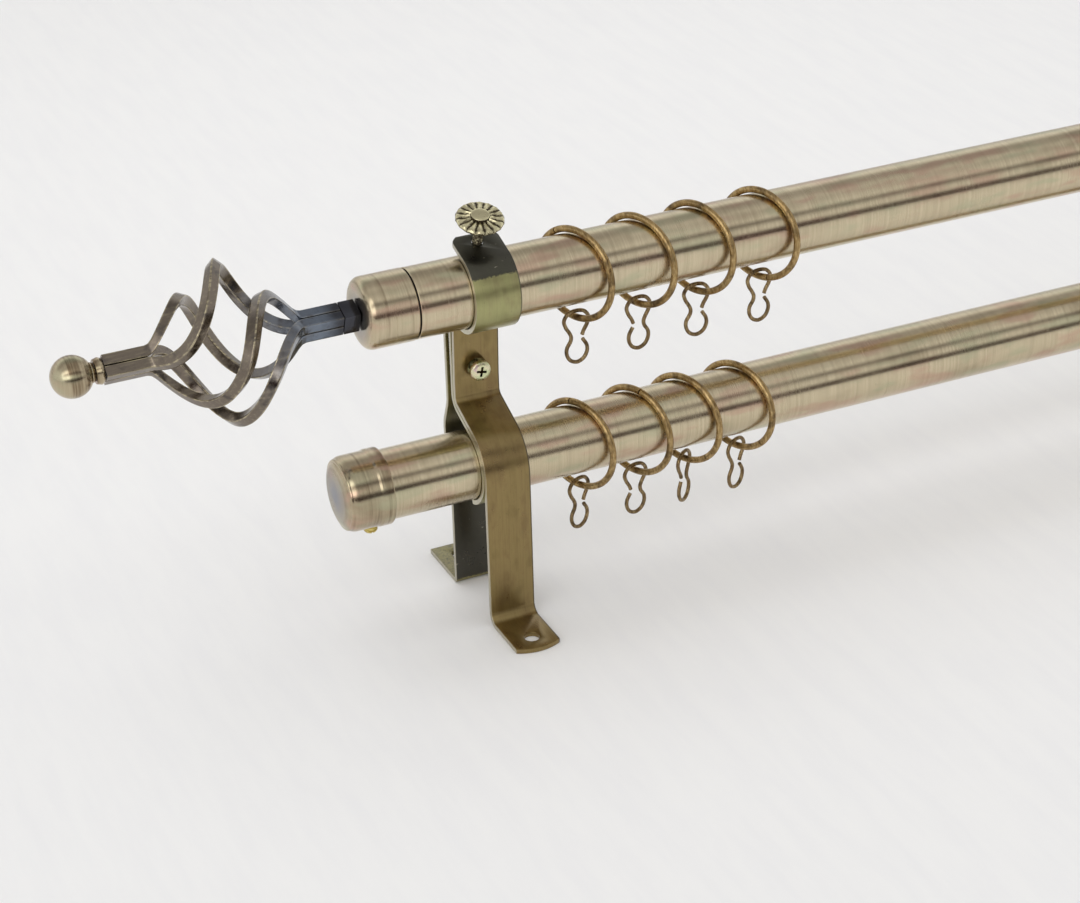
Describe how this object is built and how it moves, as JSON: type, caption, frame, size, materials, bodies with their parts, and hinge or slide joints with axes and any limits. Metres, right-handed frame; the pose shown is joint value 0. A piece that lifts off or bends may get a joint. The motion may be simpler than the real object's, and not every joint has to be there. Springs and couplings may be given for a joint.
{
  "type": "curtain rod with brackets",
  "caption": "Double curtain rod: two tubular poles one above the other on strap clamp brackets, with twisted cage finials, end caps, rings and hook clips.",
  "frame": {"origin": "centre of the footprint, on the plane of the brackets' feet", "axes": "+X along the poles, towards the right-hand finial; -Y is the front, +Z goes from the feet to the outer pole"},
  "size_m": [1.2782, 0.09, 0.1724],
  "materials": {
    "pole_brass": "steel plated in antique brass and brushed round the axis, satin lacquer over it",
    "dark_bar": "dark oxidised steel with brassy worn edges",
    "strap_lacquer": "olive bronze lacquer over strip steel, bare cut edges",
    "ring_bronze": "bronze plated wire",
    "clip_bronze": "dark bronze plated spring wire",
    "yellow_zinc": "yellow passivated zinc plate",
    "knob_brass": "cast, antiqued and polished on the high spots",
    "black_plastic": "black moulded plug"
  },
  "bodies": {
    "brackets": {"left_front_strap": "strap_lacquer", "left_hook_strap": "strap_lacquer", "left_rear_strap": "strap_lacquer", "left_cross_screw": "yellow_zinc", "left_cross_nut": "yellow_zinc", "right_front_strap": "strap_lacquer", "right_hook_strap": "strap_lacquer", "right_rear_strap": "strap_lacquer", "right_cross_screw": "yellow_zinc", "right_cross_nut": "yellow_zinc"},
    "outer_rod": {"outer_pole": "pole_brass"},
    "inner_rod": {"inner_pole": "pole_brass"},
    "left_finial": {"left_finial_spigot": "black_plastic", "left_finial_cap": "pole_brass", "left_finial_block": "dark_bar", "left_finial_bar_a": "dark_bar", "left_finial_bar_b": "dark_bar", "left_finial_bar_c": "dark_bar", "left_finial_bar_d": "dark_bar", "left_finial_collar": "pole_brass", "left_finial_ball": "pole_brass"},
    "left_end_cap": {"left_end_cap": "pole_brass", "left_end_cap_screw": "knob_brass"},
    "left_thumbscrew": {"left_thumbscrew_knob": "knob_brass", "left_thumbscrew_shank": "yellow_zinc"},
    "right_finial": {"right_finial_spigot": "black_plastic", "right_finial_cap": "pole_brass", "right_finial_block": "dark_bar", "right_finial_bar_a": "dark_bar", "right_finial_bar_b": "dark_bar", "right_finial_bar_c": "dark_bar", "right_finial_bar_d": "dark_bar", "right_finial_collar": "pole_brass", "right_finial_ball": "pole_brass"},
    "right_end_cap": {"right_end_cap": "pole_brass", "right_end_cap_screw": "knob_brass"},
    "right_thumbscrew": {"right_thumbscrew_knob": "knob_brass", "right_thumbscrew_shank": "yellow_zinc"},
    "outer_ring_1": {"outer_ring_1": "ring_bronze"},
    "outer_clip_1": {"outer_clip_1": "clip_bronze"},
    "outer_ring_2": {"outer_ring_2": "ring_bronze"},
    "outer_clip_2": {"outer_clip_2": "clip_bronze"},
    "outer_ring_3": {"outer_ring_3": "ring_bronze"},
    "outer_clip_3": {"outer_clip_3": "clip_bronze"},
    "outer_ring_4": {"outer_ring_4": "ring_bronze"},
    "outer_clip_4": {"outer_clip_4": "clip_bronze"},
    "inner_ring_1": {"inner_ring_1": "ring_bronze"},
    "inner_clip_1": {"inner_clip_1": "clip_bronze"},
    "inner_ring_2": {"inner_ring_2": "ring_bronze"},
    "inner_clip_2": {"inner_clip_2": "clip_bronze"},
    "inner_ring_3": {"inner_ring_3": "ring_bronze"},
    "inner_clip_3": {"inner_clip_3": "clip_bronze"},
    "inner_ring_4": {"inner_ring_4": "ring_bronze"},
    "inner_clip_4": {"inner_clip_4": "clip_bronze"}
  },
  "joints": [
    {"name": "outer_rod_slide", "type": "slide", "parent": "brackets", "child": "outer_rod", "axis": [1, 0, 0], "range_m": [-0.008, 0.008]},
    {"name": "inner_rod_slide", "type": "slide", "parent": "brackets", "child": "inner_rod", "axis": [1, 0, 0], "range_m": [-0.008, 0.008]},
    {"name": "left_finial_pull", "type": "slide", "parent": "outer_rod", "child": "left_finial", "axis": [-1, 0, 0], "range_m": [0, 0.025]},
    {"name": "left_end_cap_pull", "type": "slide", "parent": "inner_rod", "child": "left_end_cap", "axis": [-1, 0, 0], "range_m": [0, 0.02]},
    {"name": "left_thumbscrew_turn", "type": "hinge", "parent": "brackets", "child": "left_thumbscrew", "pos_m": [-0.4695, 0.00332, 0.15627], "axis": [0, -0.309, 0.9511], "range_deg": [0, 1440]},
    {"name": "right_finial_pull", "type": "slide", "parent": "outer_rod", "child": "right_finial", "axis": [1, 0, 0], "range_m": [0, 0.025]},
    {"name": "right_end_cap_pull", "type": "slide", "parent": "inner_rod", "child": "right_end_cap", "axis": [1, 0, 0], "range_m": [0, 0.02]},
    {"name": "right_thumbscrew_turn", "type": "hinge", "parent": "brackets", "child": "right_thumbscrew", "pos_m": [0.4695, 0.00332, 0.15627], "axis": [0, -0.309, 0.9511], "range_deg": [0, 1440]},
    {"name": "outer_ring_1_slide", "type": "slide", "parent": "outer_rod", "child": "outer_ring_1", "axis": [1, 0, 0], "range_m": [-0.009, 0.18]},
    {"name": "outer_clip_1_swing", "type": "hinge", "parent": "outer_ring_1", "child": "outer_clip_1", "pos_m": [-0.4302, 0, 0.1178], "axis": [0, 1, 0], "range_deg": [-14, 14]},
    {"name": "outer_ring_2_slide", "type": "slide", "parent": "outer_ring_1", "child": "outer_ring_2", "axis": [1, 0, 0], "range_m": [-0.005, 0.18]},
    {"name": "outer_clip_2_swing", "type": "hinge", "parent": "outer_ring_2", "child": "outer_clip_2", "pos_m": [-0.4031, 0, 0.1178], "axis": [-0.0698, 0.9976, 0], "range_deg": [-14, 14]},
    {"name": "outer_ring_3_slide", "type": "slide", "parent": "outer_ring_2", "child": "outer_ring_3", "axis": [1, 0, 0], "range_m": [-0.005, 0.18]},
    {"name": "outer_clip_3_swing", "type": "hinge", "parent": "outer_ring_3", "child": "outer_clip_3", "pos_m": [-0.3773, 0, 0.1178], "axis": [0.0698, 0.9976, 0], "range_deg": [-14, 14]},
    {"name": "outer_ring_4_slide", "type": "slide", "parent": "outer_ring_3", "child": "outer_ring_4", "axis": [1, 0, 0], "range_m": [-0.005, 0.18]},
    {"name": "outer_clip_4_swing", "type": "hinge", "parent": "outer_ring_4", "child": "outer_clip_4", "pos_m": [-0.3488, 0, 0.1178], "axis": [-0.0349, 0.9994, 0], "range_deg": [-14, 14]},
    {"name": "inner_ring_1_slide", "type": "slide", "parent": "inner_rod", "child": "inner_ring_1", "axis": [1, 0, 0], "range_m": [-0.009, 0.18]},
    {"name": "inner_clip_1_swing", "type": "hinge", "parent": "inner_ring_1", "child": "inner_clip_1", "pos_m": [-0.4307, 0, 0.0431], "axis": [-0.342, 0.9397, 0], "range_deg": [-14, 14]},
    {"name": "inner_ring_2_slide", "type": "slide", "parent": "inner_ring_1", "child": "inner_ring_2", "axis": [1, 0, 0], "range_m": [-0.002, 0.18]},
    {"name": "inner_clip_2_swing", "type": "hinge", "parent": "inner_ring_2", "child": "inner_clip_2", "pos_m": [-0.4052, 0, 0.0431], "axis": [-0.1736, 0.9848, 0], "range_deg": [-14, 14]},
    {"name": "inner_ring_3_slide", "type": "slide", "parent": "inner_ring_2", "child": "inner_ring_3", "axis": [1, 0, 0], "range_m": [-0.002, 0.18]},
    {"name": "inner_clip_3_swing", "type": "hinge", "parent": "inner_ring_3", "child": "inner_clip_3", "pos_m": [-0.3829, 0, 0.0431], "axis": [-0.5878, 0.809, 0], "range_deg": [-14, 14]},
    {"name": "inner_ring_4_slide", "type": "slide", "parent": "inner_ring_3", "child": "inner_ring_4", "axis": [1, 0, 0], "range_m": [-0.002, 0.18]},
    {"name": "inner_clip_4_swing", "type": "hinge", "parent": "inner_ring_4", "child": "inner_clip_4", "pos_m": [-0.3586, 0, 0.0431], "axis": [-0.4067, 0.9135, 0], "range_deg": [-14, 14]}
  ]
}
